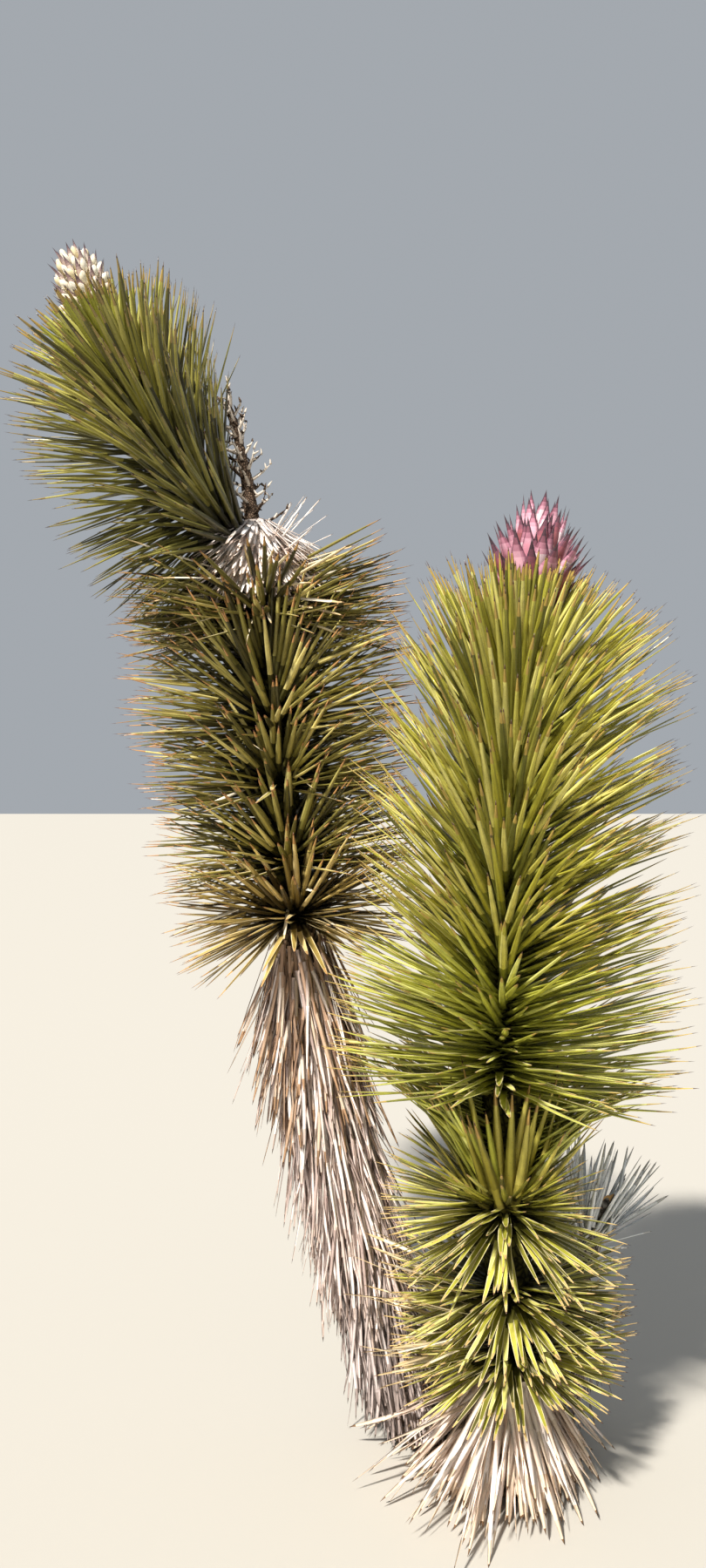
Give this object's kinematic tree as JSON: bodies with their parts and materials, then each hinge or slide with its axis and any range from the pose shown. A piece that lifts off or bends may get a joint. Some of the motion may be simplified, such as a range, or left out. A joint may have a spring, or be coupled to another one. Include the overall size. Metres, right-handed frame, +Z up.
{
  "type": "joshua tree",
  "caption": "Young desert tree in a clump, with columns of dagger leaves over skirts of dry leaves, a leaning forked stem, a flower bud and a dead stub.",
  "frame": {"origin": "centre of the root crown's flat underside at ground level, between the feet of the stems", "axes": "+Z up, +X to the right and +Y away, seen from the front, with the leaning stem on the left"},
  "size_m": [1.5976, 1.1037, 2.7718],
  "materials": {
    "bark": "rough, flaky brown bark",
    "weathered_bark": "weathered grey dead wood with a ragged broken top",
    "dry_stalk": "dry, dark brown, with grey-white twigs",
    "green_leaves": "satin yellow-green blades with pale yellow edges and brown spines",
    "olive_leaves": "satin olive blades with tan edges and brown spines",
    "straw_leaves": "dry straw-coloured blades",
    "weathered_leaves": "dry grey weathered blades",
    "bleached_leaves": "bleached, folded dry blades",
    "bud_bracts": "matte rose bracts with dark purple tips",
    "flower_head": "matte cream buds and bracts with purple-brown tips"
  },
  "bodies": {
    "root": {"root_crown": "bark", "right_stem": "bark", "left_stem": "bark", "left_arm": "bark", "dead_stub": "weathered_bark", "old_flower_stalk": "dry_stalk", "right_bud": "bud_bracts", "arm_flower_head": "flower_head", "left_collar": "bleached_leaves", "right_skirt": "straw_leaves", "left_skirt_low": "weathered_leaves", "left_skirt_mid": "weathered_leaves", "left_skirt_top": "straw_leaves", "stub_skirt": "weathered_leaves", "stub_crest": "weathered_leaves", "right_tier_1": "green_leaves", "right_tier_2": "green_leaves", "right_tier_3": "green_leaves", "right_tier_4": "green_leaves", "right_tier_5": "green_leaves", "right_tier_6": "green_leaves", "right_tier_7": "green_leaves", "left_tier_1": "olive_leaves", "left_tier_2": "olive_leaves", "left_tier_3": "olive_leaves", "left_tier_4": "olive_leaves", "left_tier_5": "olive_leaves", "arm_tier_1": "olive_leaves", "arm_tier_2": "olive_leaves", "arm_tier_3": "olive_leaves"}
  },
  "joints": []
}
